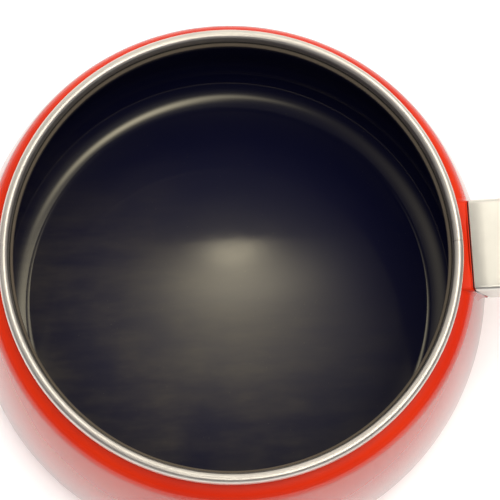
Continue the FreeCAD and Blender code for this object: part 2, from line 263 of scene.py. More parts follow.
def base_enamel():
    section = arc(CORNER_CENTRE, BELLY_HEIGHT, FOOT_ANGLE, -90.0, step=1.0)
    section += [(CORNER_CENTRE[0] * s, 0.0) for s in (0.9, 0.6, 0.3, 0.0)]
    section += [(0.0, COAT)]
    section += arc(CORNER_CENTRE, BELLY_HEIGHT - COAT, -90.0, FOOT_ANGLE, step=1.0)
    return lathe("ground_coat_base", section)


def trim_ring():
    """Rolled strip with a rounded top, an inner skirt and an outer skirt turned in under the bead."""
    half = 0.5 * RING_WIDTH
    centre = (RIM_RADIUS - half, RIM_HEIGHT)
    curl = 0.45 * MM
    skirt_rise = 0.15 * MM
    skirt_ease = 0.12 * MM
    section = arc(centre, half, 0.0, 180.0, step=5.0)
    section += [(RING_INNER, RING_INNER_FOOT + skirt_rise), (RING_INNER + skirt_ease, RING_INNER_FOOT)]
    section += [(BEAD_INNER, RING_INNER_FOOT)]
    section += arc(centre, half - RING_SHEET, 180.0, 0.0, step=10.0)
    section += [(BEAD_OUTER, RING_FOOT + RING_SHEET), (NECK_RADIUS, RING_FOOT + RING_SHEET)]
    section += [(NECK_RADIUS, RING_FOOT)]
    section += arc((RIM_RADIUS - curl, RING_FOOT + curl), curl, -90.0, 0.0, step=15.0)
    gap = SEAM_GAP / RIM_RADIUS
    rows = []
    for k in range(AROUND + 1):
        turn = 0.5 * gap + (math.tau - gap) * k / AROUND
        rows.append([Vector((r * math.cos(turn), r * math.sin(turn), z)) for r, z in section])
    return skin("steel_trim_ring", rows, caps=True)


# ---- the handle, built along +X and then tilted into place ----
def place(obj):
    obj.data.transform(Matrix.Translation(HANDLE_START) @ Matrix.Rotation(-HANDLE_TILT, 4, "Y"))
    return obj


def handle_to_row(point):
    return HANDLE_START + Matrix.Rotation(-HANDLE_TILT, 3, "Y") @ point


def rounded_outline(width, depth, corner, grow=0.0, flat_steps=12, corner_steps=8):
    """Points (y, z) round a rounded rectangle, moved out by grow, each with its outward direction."""
    y = 0.5 * width - corner
    z = 0.5 * depth - corner
    quarters = ((1, 1), (-1, 1), (-1, -1), (1, -1))
    spots = []
    for quarter, (sy, sz) in enumerate(quarters):
        for k in range(corner_steps + 1):
            turn = math.radians(90.0 * (quarter + k / corner_steps))
            spots.append((sy * y, sz * z, (math.cos(turn), math.sin(turn))))
        ny, nz = quarters[(quarter + 1) % 4]
        way = spots[-1][2]
        for k in range(1, flat_steps):
            t = k / flat_steps
            spots.append((y * (sy + (ny - sy) * t), z * (sz + (nz - sz) * t), way))
    return [(sy + (corner + grow) * way[0], sz + (corner + grow) * way[1], way) for sy, sz, way in spots]


def wall_x(y, z):
    """Where a line along the handle's axis, at (y, z) across it, meets the red outside surface."""
    low = -14.0 * MM
    high = 20.0 * MM
    for _ in range(40):
        middle = 0.5 * (low + high)
        spot = handle_to_row(Vector((middle, y, z)))
        if math.hypot(spot.x, spot.y) < outside_radius(spot.z):
            low = middle
        else:
            high = middle
    return 0.5 * (low + high)


def mitre_x(z):
    return (0.5 - z / GUARD_DEPTH) * MITRE_RUN


def lug_dish(y, z):
    """How far the lug's top is lowered between its two cheeks."""
    half = 13.5 * MM
    depth = 1.6 * MM
    level = 0.55              # share of the half width that lies at full depth
    if z < 0.0 or abs(y) > half:
        return 0.0
    edge = max(0.0, (abs(y) / half - level) / (1.0 - level))
    return depth * (0.5 + 0.5 * math.cos(math.pi * edge))


def handle_lug():
    """Enamelled bracket: a fillet off the wall, a shoulder with two cheeks, and a spigot inside the guard."""
    fillet = 2.0 * MM
    edge = 0.7 * MM
    sink = 0.1 * MM
    deepen = 0.3
    shortest = 0.3 * MM
    top_limit = 0.5 * GUARD_DEPTH + 1.4 * MM
    ring = rounded_outline(GUARD_WIDTH, GUARD_DEPTH, GUARD_CORNER)
    foot = [(y + fillet * way[0], min(z + fillet * way[1], top_limit)) for y, z, way in ring]
    rows = []
    # The back follows the wall's curve, so it stays inside the wall.
    for share in (0.02, 0.25, 0.5, 0.75):
        rows.append([Vector((wall_x(y * share, z * share) - sink, y * share, z * share)) for y, z in foot])
    for k in range(7):
        turn = math.radians(15.0 * k)
        out = fillet * (1.0 - math.sin(turn))
        lift = fillet * (1.0 - math.cos(turn)) - sink
        row = []
        for y, z, way in ring:
            yy = y + out * way[0]
            zz = min(z + out * way[1], top_limit)
            row.append(Vector((wall_x(yy, zz) + lift, yy, zz - lug_dish(y, z) * math.sin(turn))))
        rows.append(row)
    roots = [p.x for p in rows[-1]]
    fronts = [max(mitre_x(z) - LUG_GAP - edge, root + shortest) for (y, z, way), root in zip(ring, roots)]
    for t in (0.35, 0.7):
        rows.append([Vector((root + (front - root) * t, y, z - lug_dish(y, z) * (1.0 + deepen * t)))
                     for (y, z, way), root, front in zip(ring, roots, fronts)])
    for k in range(6):
        turn = math.radians(18.0 * k)
        inset = edge * (1.0 - math.cos(turn))
        rows.append([Vector((front + edge * math.sin(turn), y - inset * way[0],
                             z - inset * way[1] - lug_dish(y, z) * (1.0 + deepen)))
                     for (y, z, way), front in zip(ring, fronts)])
    shoulder = [p.x for p in rows[-1]]
    spigot = rounded_outline(GUARD_WIDTH, GUARD_DEPTH, GUARD_CORNER, grow=-GUARD_SHEET - FIT)
    rows.append([Vector((x, y, z)) for x, (y, z, way) in zip(shoulder, spigot)])
    rows.append([Vector((LUG_END, y, z)) for y, z, way in spigot])
    return place(skin("red_handle_lug", rows, caps=True))


def flame_guard():
    """Box sleeve of folded sheet with a mitred front and eased edges."""
    ease = 0.28 * MM
    quarter = [math.radians(30.0 * k) for k in range(4)]
    # Each station: how far inside the outer face, the share of the way along, and a shift along the axis.
    stations = [(ease * (1.0 - math.sin(a)), 0.0, ease * (1.0 - math.cos(a))) for a in quarter]
    stations += [(0.0, share, 0.0) for share in (0.25, 0.5, 0.75)]
    stations += [(ease * (1.0 - math.cos(a)), 1.0, -ease * (1.0 - math.sin(a))) for a in quarter]
    stations += [(GUARD_SHEET, 1.0, 0.0), (GUARD_SHEET, 0.0, 0.0)]
    rows = []
    for inset, share, shift in stations:
        row = []
        for y, z, way in rounded_outline(GUARD_WIDTH, GUARD_DEPTH, GUARD_CORNER):
            front = mitre_x(z)
            x = front + (GUARD_LENGTH - front) * share + shift
            row.append(Vector((x, y - inset * way[0], z - inset * way[1])))
        rows.append(row)
    return place(skin("steel_flame_guard", rows, close_rows=True))


# Cross-sections of the grip in millimetres: distance along the handle, width, depth, corner radius.
GRIP_SECTIONS = (
    (24.0, 37.2, 18.6, 5.0),
    (36.0, 33.0, 18.2, 6.5),
    (64.0, 27.0, 18.6, 8.4),
    (106.0, 28.6, 20.2, 9.2),
    (146.0, 30.6, 19.8, 9.0),
    (172.0, 24.0, 16.0, 7.4),
)


def grip_section(x):
    """Width, depth and corner radius of the grip at a distance along it, on smooth curves."""
    last = len(GRIP_SECTIONS) - 1
    spot = max(k for k in range(last) if GRIP_SECTIONS[k][0] <= x)
    start = GRIP_SECTIONS[spot]
    end = GRIP_SECTIONS[spot + 1]
    span = end[0] - start[0]
    t = (x - start[0]) / span

    def slope(k, column):
        low = GRIP_SECTIONS[max(0, k - 1)]
        high = GRIP_SECTIONS[min(last, k + 1)]
        return (high[column] - low[column]) / (high[0] - low[0])

    values = []
    for column in (1, 2, 3):
        pull = (1.0 - t) * slope(spot, column) - t * slope(spot + 1, column)
        line = start[column] + (end[column] - start[column]) * t
        bend = (end[column] - start[column]) * (2.0 * t - 1.0) * t * (1.0 - t)
        values.append(line + bend + pull * span * t * (1.0 - t))
    return [v * MM for v in values]


def grip():
    """Moulded grip with an eased shoulder, a fine parting line and a spigot inside the guard."""
    spigot = rounded_outline(GUARD_WIDTH, GUARD_DEPTH, GUARD_CORNER, grow=-GUARD_SHEET - FIT)
    rows = [[Vector((x, y, z)) for y, z, way in spigot] for x in (LUG_END + FIT, GUARD_LENGTH)]
    ease = 0.6                # ease and spacing are in millimetres, as the sections are
    spacing = 2.0
    first = GRIP_SECTIONS[0][0]
    last = GRIP_SECTIONS[-1][0]
    parting_rise = 0.1 * MM
    parting_half = 0.3 * MM
    eased = [ease * (1.0 - math.cos(math.radians(15.0 * k))) for k in range(7)]
    stations = [first + e for e in eased]
    stations += [first + spacing * k for k in range(1, int((last - first) / spacing))]
    stations += [last - e for e in reversed(eased)]
    for x in stations:
        near = min(x - first, last - x, ease)
        inset = (ease - math.sqrt(ease ** 2 - (ease - near) ** 2)) * MM
        ridge = parting_rise if near == ease else 0.0
        row = []
        for y, z, way in rounded_outline(*grip_section(x), grow=-inset):
            lift = ridge if abs(z) < parting_half else 0.0
            row.append(Vector((x * MM, y + lift * way[0], z + lift * way[1])))
        rows.append(row)
    return place(skin("black_grip", rows, caps=True))


def end_cap():
    """Domed stainless cap on the grip's end."""
    width, depth, corner = [v * MM for v in GRIP_SECTIONS[-1][1:]]
    seat = 0.15 * MM
    dome = CAP_END - GRIP_END - seat
    draw_in = 3.6 * MM
    rows = []
    for k in range(-1, 13):
        turn = math.radians(7.5 * max(0, k))
        x = GRIP_END + (0.0 if k < 0 else seat + dome * math.sin(turn))
        inset = seat if k < 0 else draw_in * (1.0 - math.cos(turn))
        rows.append([Vector((x, y, z)) for y, z, way in rounded_outline(width, depth, corner, grow=-inset)])
    return place(skin("steel_end_cap", rows, caps=True))


def lock_washer():
    """Split spring washer, its two ends slightly apart."""
    ease = 0.1 * MM
    opening = 10.0            # degrees between the two ends
    steps = 60
    section = [(ease, WASHER_INNER), (0.0, WASHER_INNER + ease),
               (0.0, WASHER_OUTER - ease), (ease, WASHER_OUTER),
               (WASHER_HEIGHT - ease, WASHER_OUTER), (WASHER_HEIGHT, WASHER_OUTER - ease),
               (WASHER_HEIGHT, WASHER_INNER + ease), (WASHER_HEIGHT - ease, WASHER_INNER)]
    rows = []
    for k in range(steps + 1):
        turn = math.radians(0.5 * opening + (360.0 - opening) * k / steps)
        rows.append([Vector((CAP_END + x, r * math.sin(turn), r * math.cos(turn))) for x, r in section])
    return place(skin("spring_washer", rows, caps=True))


def eye_collar():
    """Round nut behind the tongue, with rounded ends."""
    start = CAP_END + WASHER_HEIGHT
    ease = 0.5 * MM
    turns = [math.radians(22.5 * k) for k in range(5)]
    section = [(ease * (1.0 - math.cos(a)), COLLAR_RADIUS - ease * (1.0 - math.sin(a))) for a in turns]
    section += [(COLLAR_LENGTH - x, r) for x, r in reversed(section)]
    steps = 72
    rows = []
    for x, r in section:
        ways = [math.tau * k / steps for k in range(steps)]
        rows.append([Vector((start + x, r * math.sin(a), r * math.cos(a))) for a in ways])
    return place(skin("eye_nut_collar", rows, caps=True))


def eye_tongue():
    """Flat tongue with a rounded nose and a countersunk cross hole."""
    hole = WIRE_RADIUS + EYE_CLEARANCE
    root = 1.0 * MM           # the tongue starts this far inside the collar
    back = EYE_CENTRE - CAP_END - WASHER_HEIGHT - root
    edge = ((0.0, 0.35), (0.1, 0.1), (0.35, 0.0))
    rim = ((0.3, 0.0), (0.08, 0.08), (0.0, 0.3))
    half = [("out", inset * MM, TONGUE_HALF - down * MM) for inset, down in edge]
    half += [("in", grow * MM, TONGUE_HALF - down * MM) for grow, down in rim]
    loop = half + [(kind, value, -y) for kind, value, y in reversed(half)]
    steps = 96
    rows = []
    for kind, value, y in loop:
        row = []
        for k in range(steps):
            turn = math.tau * k / steps
            c = math.cos(turn)
            s = math.sin(turn)
            r = hole + value
            if kind == "out":
                r = COLLAR_RADIUS - value
                if c < 0.0:
                    r = min((COLLAR_RADIUS - value) / max(abs(s), 1e-6), (back - value) / -c)
            row.append(Vector((EYE_CENTRE + r * c, y, r * s)))
        rows.append(row)
    return place(skin("eye_nut_tongue", rows, close_rows=True))


def hanging_loop():
    """Round wire bent into a rounded D, its bar through the eye."""
    eye = handle_to_row(Vector((EYE_CENTRE, 0.0, 0.0)))
    bar_half = 8.0 * MM
    corner = 6.0 * MM
    leg_end = 24.0 * MM
    half = bar_half + corner
    # Points (y, drop) round the loop, clockwise from the left end of the bar.
    path = [(bar_half * (k / 6.0 - 1.0), 0.0) for k in range(1, 12)]
    path += [(y, -z) for y, z in arc((bar_half, -corner), corner, 90.0, 0.0, step=7.5)]
    path += [(half, corner + (leg_end - corner) * k / 6.0) for k in range(1, 6)]
    path += [(y, -z) for y, z in arc((0.0, -leg_end), half, 0.0, -180.0, step=5.0)]
    path += [(-half, leg_end + (corner - leg_end) * k / 6.0) for k in range(1, 6)]
    path += [(y, -z) for y, z in arc((-bar_half, -corner), corner, 180.0, 90.0, step=7.5)]
    side = Vector((1.0, 0.0, 0.0))
    steps = 32
    rows = []
    for k, (y, drop) in enumerate(path):
        before = path[k - 1]
        after = path[(k + 1) % len(path)]
        along = Vector((0.0, after[0] - before[0], before[1] - after[1])).normalized()
        across = along.cross(side)
        centre = eye + Vector((0.0, y, -drop))
        ways = [math.tau * t / steps for t in range(steps)]
        rows.append([centre + WIRE_RADIUS * (math.cos(a) * side + math.sin(a) * across) for a in ways])
    return skin("wire_hanging_loop", rows, close_rows=True)


# ---- materials ----
class Graph:
    """The nodes of a material or a world, with short ways to add to them."""

    def __init__(self, owner, coordinates="Object"):
        owner.use_nodes = True
        self.owner = owner
        self.nodes = owner.node_tree.nodes
        self.links = owner.node_tree.links
        self.place = self.nodes.new("ShaderNodeTexCoord").outputs[coordinates]

    def put(self, node, slot, value):
        """Set a socket to a value, or link it to another node's output."""
        if isinstance(value, bpy.types.NodeSocket):
            self.links.new(value, node.inputs[slot])
        else:
            node.inputs[slot].default_value = value

    def math(self, operation, *values):
        node = self.nodes.new("ShaderNodeMath")
        node.operation = operation
        for k, value in enumerate(values):
            self.put(node, k, value)
        return node.outputs[0]

    def scaled(self, factors, turn=0.0, spin=0.0):
        """The object's own coordinates, turned about Y or about Z and then stretched."""
        node = self.nodes.new("ShaderNodeMapping")
        self.put(node, "Vector", self.place)
        node.inputs["Rotation"].default_value = (0.0, turn, spin)
        node.inputs["Scale"].default_value = factors
        return node.outputs[0]

    def noise(self, vector, scale, detail=2.0, rough=0.5):
        node = self.nodes.new("ShaderNodeTexNoise")
        self.put(node, "Vector", vector)
        self.put(node, "Scale", scale)
        self.put(node, "Detail", detail)
        self.put(node, "Roughness", rough)
        return node.outputs["Fac"]

    def specks(self, scale, size):
        """1 on small scattered dots and 0 elsewhere; size is a share of the spacing between dots."""
        node = self.nodes.new("ShaderNodeTexVoronoi")
        self.put(node, "Vector", self.place)
        self.put(node, "Scale", scale)
        return self.span(node.outputs["Distance"], size, 0.6 * size)

    def span(self, value, low, high, to_low=0.0, to_high=1.0):
        """The value's way from low to high, as a number between the two others."""
        node = self.nodes.new("ShaderNodeMapRange")
        for slot, v in (("Value", value), ("From Min", low), ("From Max", high),
                        ("To Min", to_low), ("To Max", to_high)):
            self.put(node, slot, v)
        return node.outputs["Result"]

    def mix(self, share, first, second):
        node = self.nodes.new("ShaderNodeMix")
        node.data_type = "RGBA"
        self.put(node, 0, share)
        for slot, colour in ((6, first), (7, second)):
            self.put(node, slot, colour if isinstance(colour, bpy.types.NodeSocket) else (*colour, 1.0))
        return node.outputs[2]

    def blend(self, field, low, high, first, second):
        """The first colour where a field is low, going over to the second where it is high."""
        return self.mix(self.span(field, low, high), first, second)

    def split(self):
        node = self.nodes.new("ShaderNodeSeparateXYZ")
        self.put(node, 0, self.place)
        return node.outputs

    def length(self, x, y):
        return self.math("SQRT", self.math("ADD", self.math("MULTIPLY", x, x), self.math("MULTIPLY", y, y)))

    def bump(self, height, depth, under=None):
        """A normal from a height field, where a full step of the field is this deep."""
        node = self.nodes.new("ShaderNodeBump")
        node.inputs["Strength"].default_value = 1.0
        node.inputs["Distance"].default_value = depth
        self.put(node, "Height", height)
        if under is not None:
            self.put(node, "Normal", under)
        return node.outputs["Normal"]

    def set(self, **values):
        """Set the Principled shader's sockets; an underscore stands for a space."""
        shader = self.nodes["Principled BSDF"]
        for name, value in values.items():
            self.put(shader, name.replace("_", " "), value)
        return self.owner


def around_axis(graph, along, across):
    """Coordinates that change slowly round the pot's axis and fast across it, with no seam."""
    lean = 1.7                # share of the radius in the last coordinate, next to the height
    x, y, z = graph.split()
    radius = graph.length(x, y)
    outward = graph.math("ADD", graph.math("MULTIPLY", radius, lean), z)
    node = graph.nodes.new("ShaderNodeCombineXYZ")
    graph.put(node, 0, graph.math("MULTIPLY", graph.math("DIVIDE", x, radius), along))
    graph.put(node, 1, graph.math("MULTIPLY", graph.math("DIVIDE", y, radius), along))
    graph.put(node, 2, graph.math("MULTIPLY", outward, across))
    return node.outputs[0]


def red_enamel(name, with_gap_shade=False):
    """Fired enamel: deep red with a slight orange peel, dull under the ring, with painted shade just under
    the ring's edge, darker towards the foot, and painted shade in the gap before the guard when asked for.
    """
    deep = (0.53, 0.017, 0.001)
    bright = (0.58, 0.023, 0.001)
    painted_ring_shade = (0.16, 0.006, 0.003)
    darker_foot = (0.09, 0.004, 0.003)
    painted_gap_shade = (0.012, 0.002, 0.002)
    hollow = NECK_HEIGHT - NECK_ARC
    g = Graph(bpy.data.materials.new(name))
    z = g.split()["Z"]
    colour = g.blend(g.noise(g.place, 26.0, 3.0), 0.35, 0.65, deep, bright)
    # Painted shade: a darker line on the red just under the ring's edge.
    ring_shade_band = g.span(z, RING_FOOT - 0.6 * MM, RING_FOOT - 0.1 * MM, 0.0, 0.7)
    # Darker towards the foot of the red coat.
    foot_fade = g.span(z, 1.6 * MM, 0.6 * MM, 0.0, 0.8)
    colour = g.mix(ring_shade_band, colour, painted_ring_shade)
    colour = g.mix(foot_fade, colour, darker_foot)
    # Painted shade in the narrow gap in front of the guard.
    if with_gap_shade:
        colour = g.mix(gap_shade_mask(g), colour, painted_gap_shade)
    peel = g.noise(g.place, 420.0, 2.0)
    slow = g.noise(g.place, 60.0, 1.0)
    normal = g.bump(peel, 0.006 * MM, g.bump(slow, 0.03 * MM))
    dull = g.span(z, hollow - 2.6 * MM, hollow - 1.0 * MM)
    gloss = g.span(g.noise(g.place, 90.0, 3.0), 0.3, 0.7, 0.04, 0.08)
    rough = g.math("ADD", gloss, g.math("MULTIPLY", dull, 0.4))
    return g.set(Base_Color=colour, Roughness=rough, IOR=1.3, Coat_Weight=g.math("SUBTRACT", 1.0, dull),
                 Coat_Roughness=0.04, Coat_IOR=1.5, Normal=normal)


def gap_shade_mask(g):
    """Where the painted shade goes: 1 in the narrow gap in front of the guard, fading to 0 on the lug's
    shoulder.
    """
    spot = g.split()
    c = math.cos(HANDLE_TILT)
    s = math.sin(HANDLE_TILT)
    dx = g.math("SUBTRACT", spot["X"], HANDLE_START.x)
    dz = g.math("SUBTRACT", spot["Z"], HANDLE_START.z)
    along = g.math("ADD", g.math("MULTIPLY", dx, c), g.math("MULTIPLY", dz, s))
    up = g.math("SUBTRACT", g.math("MULTIPLY", dz, c), g.math("MULTIPLY", dx, s))
    front = g.math("SUBTRACT", 0.5 * MITRE_RUN, g.math("MULTIPLY", up, MITRE_RUN / GUARD_DEPTH))
    return g.span(g.math("SUBTRACT", along, front), -1.2 * LUG_GAP, -0.9 * LUG_GAP)


def dark_enamel():
    """Blue-black enamel: a clear gloss under a hazy film, with wipe marks, specks and a rippled lip; a pale
    film with painted sheen on the near side of the floor, a painted highlight on the lip and painted shade
    where the lip meets the ring.
    """
    cool = (0.0026, 0.0030, 0.0170)
    warm = (0.0042, 0.0042, 0.0175)
    wipe_film_and_sheen = (0.036, 0.031, 0.028)
    dust_grey = (0.035, 0.032, 0.032)
    painted_lip_highlight = (0.088, 0.070, 0.052)
    painted_joint_shade = (0.004, 0.004, 0.005)
    g = Graph(bpy.data.materials.new("dark_enamel"))
    x, y, z = g.split()
    cloud = g.noise(g.place, 22.0, 4.0, 0.6)
    colour = g.blend(cloud, 0.3, 0.7, cool, warm)
    streak = g.noise(g.scaled((26.0, 110.0, 26.0), spin=math.radians(40.0)), 1.0, 4.0, 0.62)
    wiped = g.math("MULTIPLY", g.span(streak, 0.36, 0.66, 0.35, 1.15), g.span(cloud, 0.35, 0.65, 0.35, 1.0))
    # Pale film on the floor: real wipe streaks, with painted sheen that lightens the near side.
    near_side = g.math("ADD", y, g.math("MULTIPLY", x, 0.8))
    painted_sheen_side = g.span(near_side, 0.6 * RIM_RADIUS, -0.9 * RIM_RADIUS)
    on_floor = g.span(z, 20.0 * MM, 3.0 * MM)
    colour = g.mix(g.math("MULTIPLY", wiped, g.math("MULTIPLY", painted_sheen_side, on_floor)), colour, wipe_film_and_sheen)
    dust = g.math("MULTIPLY", g.specks(420.0, 0.10), g.span(g.noise(g.place, 90.0, 1.0), 0.5, 0.62))
    colour = g.mix(dust, colour, dust_grey)
    # Painted highlight: a brownish-grey line along the rounded lip.
    colour = g.blend(z, LIP_HEIGHT - 0.5 * MM, LIP_HEIGHT - 0.1 * MM, colour, painted_lip_highlight)
    # Painted shade: a black line where the lip meets the ring's inner foot.
    colour = g.blend(z, RING_INNER_FOOT - 0.5 * MM, RING_INNER_FOOT - 0.2 * MM, colour, painted_joint_shade)
    smudge = g.noise(g.scaled((1.0, 1.6, 1.0)), 38.0, 5.0, 0.62)
    lip = g.span(z, RING_FOOT - 5.5 * MM, RING_FOOT - 2.5 * MM)
    rough = g.math("ADD", g.span(smudge, 0.32, 0.70, 0.025, 0.06), g.math("MULTIPLY", lip, 0.55))
    ripple = g.math("MULTIPLY", g.noise(around_axis(g, 22.0, 60.0), 1.0, 1.0), lip)
    normal = g.bump(g.noise(g.place, 300.0, 2.0), 0.0012 * MM, g.bump(ripple, 0.35 * MM))
    return g.set(Base_Color=colour, Roughness=rough, IOR=1.5, Specular_Tint=(1.0, 0.94, 0.74, 1.0),
                 Coat_Weight=g.math("SUBTRACT", 1.0, lip), Coat_IOR=1.22, Coat_Roughness=0.36,
                 Normal=normal, Coat_Normal=normal)


def ground_coat():
    """Speckled charcoal ground coat under the base, rubbed paler and duller where the pot stands."""
    dark_grain = (0.012, 0.012, 0.014)
    pale_grain = (0.030, 0.030, 0.033)
    speck = (0.16, 0.16, 0.17)
    worn = (0.11, 0.105, 0.10)
    g = Graph(bpy.data.materials.new("ground_coat"))
    grain = g.noise(g.place, 900.0, 3.0)
    colour = g.blend(grain, 0.4, 0.6, dark_grain, pale_grain)
    colour = g.mix(g.specks(520.0, 0.22), colour, speck)
    standing = g.span(g.split()["Z"], 0.25 * MM, 0.0)
    rubbed = g.span(g.noise(around_axis(g, 3.0, 900.0), 1.0, 4.0), 0.45, 0.7)
    wear = g.math("MULTIPLY", standing, rubbed)
    colour = g.mix(g.math("MULTIPLY", wear, 0.6), colour, worn)
    rough = g.span(wear, 0.0, 1.0, 0.16, 0.42)
    return g.set(Base_Color=colour, Roughness=rough, IOR=1.5, Normal=g.bump(grain, 0.02 * MM))


def steel(name, colour, vector, low, high, depth):
    """Brushed steel: fine scratches in one direction, with a roughness that follows them."""
    g = Graph(bpy.data.materials.new(name))
    scratch = g.noise(vector(g), 1.0, 5.0, 0.65)
    shade = g.blend(g.noise(g.place, 60.0, 3.0), 0.35, 0.7, colour, tuple(c * 0.90 for c in colour))
    rough = g.span(scratch, 0.35, 0.65, low, high)
    return g.set(Base_Color=shade, Metallic=1.0, Roughness=rough, Normal=g.bump(scratch, depth))


def ring_steel():
    """Polished round the ring, with a rougher inner skirt that the polishing wheel doesn't reach, its darker
    colour there partly painted shade.
    """
    bright = (0.84, 0.80, 0.74)
    mottled = (0.76, 0.72, 0.67)
    dull = (0.60, 0.56, 0.52)
    g = Graph(bpy.data.materials.new("polished_ring_steel"))
    x, y, z = g.split()
    scratch = g.noise(around_axis(g, 6.0, 7000.0), 1.0, 5.0, 0.65)
    inside = g.span(g.length(x, y), RING_INNER + 0.6 * MM, RING_INNER + 0.2 * MM)
    low_down = g.span(z, RIM_HEIGHT + 0.4 * MM, RIM_HEIGHT - 0.6 * MM)
    skirt = g.math("MULTIPLY", inside, low_down)
    colour = g.blend(g.noise(g.place, 60.0, 3.0), 0.35, 0.7, bright, mottled)
    # Darker inner skirt: partly its duller finish, partly painted shade on the ring's inner face.
    colour = g.mix(skirt, colour, dull)
    rough = g.math("ADD", g.span(scratch, 0.35, 0.65, 0.36, 0.44), g.math("MULTIPLY", skirt, 0.15))
    return g.set(Base_Color=colour, Metallic=1.0, Roughness=rough, Normal=g.bump(scratch, 0.006 * MM))


def guard_steel():
    return steel("brushed_guard_steel", (0.92, 0.90, 0.84),
                 lambda g: g.scaled((60.0, 5200.0, 5200.0), HANDLE_TILT), 0.34, 0.38, 0.0006 * MM)


def cap_steel():
    return steel("satin_cap_steel", (0.72, 0.70, 0.67),
                 lambda g: g.scaled((150.0, 2400.0, 2400.0), HANDLE_TILT), 0.22, 0.34, 0.005 * MM)


def core_steel():
    """Bare drawn steel, seen only where the coats stop."""
    return steel("drawn_core_steel", (0.50, 0.49, 0.48), lambda g: around_axis(g, 4.0, 3000.0),
                 0.35, 0.5, 0.01 * MM)


def zinc():
    """Zinc-plated fastener steel: cool grey with a faint yellow cast and fine turning marks."""
    cool = (0.58, 0.58, 0.56)
    yellow = (0.68, 0.66, 0.58)
    g = Graph(bpy.data.materials.new("zinc_plate"))
    mottle = g.noise(g.place, 900.0, 4.0)
    turned = g.noise(g.scaled((9000.0, 300.0, 300.0), HANDLE_TILT), 1.0, 3.0)
    return g.set(Base_Color=g.blend(mottle, 0.35, 0.65, cool, yellow), Metallic=1.0,
                 Roughness=g.span(mottle, 0.3, 0.7, 0.24, 0.38), Normal=g.bump(turned, 0.006 * MM))


def chrome():
    """Bright nickel-chrome wire with drawing lines and a little haze."""
    bright = (0.72, 0.72, 0.73)
    hazy = (0.64, 0.64, 0.65)
    g = Graph(bpy.data.materials.new("plated_wire"))
    lines = g.noise(g.scaled((5000.0, 400.0, 400.0)), 1.0, 3.0)
    rough = g.span(g.noise(g.place, 300.0, 3.0), 0.3, 0.7, 0.06, 0.15)
    colour = g.blend(g.noise(g.place, 200.0, 2.0), 0.3, 0.7, bright, hazy)
    return g.set(Base_Color=colour, Metallic=1.0, Roughness=rough, Normal=g.bump(lines, 0.004 * MM))


def phenolic():
    """Black compression-moulded phenolic: fine pores, soft flow clouds and a semi-gloss skin."""
    black = (0.0075, 0.0075, 0.0078)
    brownish = (0.015, 0.0145, 0.014)
    filler = (0.035, 0.033, 0.03)
    g = Graph(bpy.data.materials.new("black_phenolic"))
    flow = g.noise(g.scaled((1.0, 2.2, 2.2)), 34.0, 4.0)
    colour = g.blend(flow, 0.3, 0.7, black, brownish)
    colour = g.mix(g.specks(900.0, 0.16), colour, filler)
    rough = g.span(g.noise(g.place, 160.0, 4.0), 0.3, 0.7, 0.24, 0.36)
    pores = g.noise(g.place, 2600.0, 2.0)
    normal = g.bump(pores, 0.008 * MM, g.bump(g.noise(g.place, 120.0, 2.0), 0.04 * MM))
    return g.set(Base_Color=colour, Roughness=rough, IOR=1.55, Coat_Weight=0.25, Coat_Roughness=0.18,
                 Normal=normal)


# ---- pieces: mesh, material, body, the node it stands for and the record's material slot ----
def add_pieces():
    plated = zinc()
    plan = (
        (outer_enamel, red_enamel("red_enamel"), "pot", ("outer_enamel",), "red_enamel"),
        (inner_enamel, dark_enamel(), "pot", ("inner_enamel",), "dark_enamel"),
        (base_enamel, ground_coat(), "pot", ("base_enamel",), "ground_enamel"),
        (trim_ring, ring_steel(), "pot", ("trim_ring",), "stainless"),
        (handle_lug, red_enamel("red_lug_enamel", with_gap_shade=True), "pot", ("handle_lug",), "red_bracket"),
        (flame_guard, guard_steel(), "pot", ("flame_guard",), "stainless"),
        (grip, phenolic(), "pot", ("grip",), "black_phenolic"),
        (end_cap, cap_steel(), "pot", ("end_cap",), "stainless"),
        (lock_washer, plated, "pot", ("lock_washer",), "fastener_steel"),
        (eye_collar, plated, "pot", ("eye_nut",), "fastener_steel"),
        (eye_tongue, plated, "pot", (), "fastener_steel"),
        (hanging_loop, chrome(), "loop", ("hanging_loop",), "loop_steel"),
    )
    for build, material, body, nodes, slot in plan:
        piece = build()
        piece.data.materials.append(material)
        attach(piece, body)
        if nodes:
            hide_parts(*nodes)


def dress_nodes():
    """CAD nodes that stay: the steel core, its welds and the fasteners inside the handle."""
    inner = {"pot_body": core_steel(), "lug_weld_nuggets": core_steel(),
             "lug_nut": zinc(), "tension_rod": zinc()}
    for name, material in inner.items():
        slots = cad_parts[name].data.materials
        slots.clear()
        slots.append(material)


# ---- floor, light and camera ----
WARM = (1.0, 0.95, 0.83)
COOL = (0.02, 0.02, 0.05)


def flat(name, low_x, high_x, low_y, high_y, height):
    corners = ((low_x, low_y), (high_x, low_y), (high_x, high_y), (low_x, high_y))
    points = [(x, y, height) for x, y in corners]
    mesh = bpy.data.meshes.new(name)
    mesh.from_pydata(points, [], [(0, 1, 2, 3)])
    obj = bpy.data.objects.new(name, mesh)
    bpy.context.scene.collection.objects.link(obj)
    return obj


def floor():
    """A pale floor, which the lens sees paler than reflections and bounced light do."""
    reach = 12.0
    mirrored = (0.62, 0.62, 0.62)
    seen = (0.96, 0.96, 0.96)
    obj = flat("floor", -reach, reach, -reach, reach, -0.05 * MM)
    g = Graph(bpy.data.materials.new("pale_floor"))
    by_lens = g.nodes.new("ShaderNodeLightPath").outputs["Is Camera Ray"]
    obj.data.materials.append(g.set(Base_Color=g.mix(by_lens, mirrored, seen), Roughness=0.9,
                                    Emission_Color=(1.0, 1.0, 1.0, 1.0), Emission_Strength=0.10))


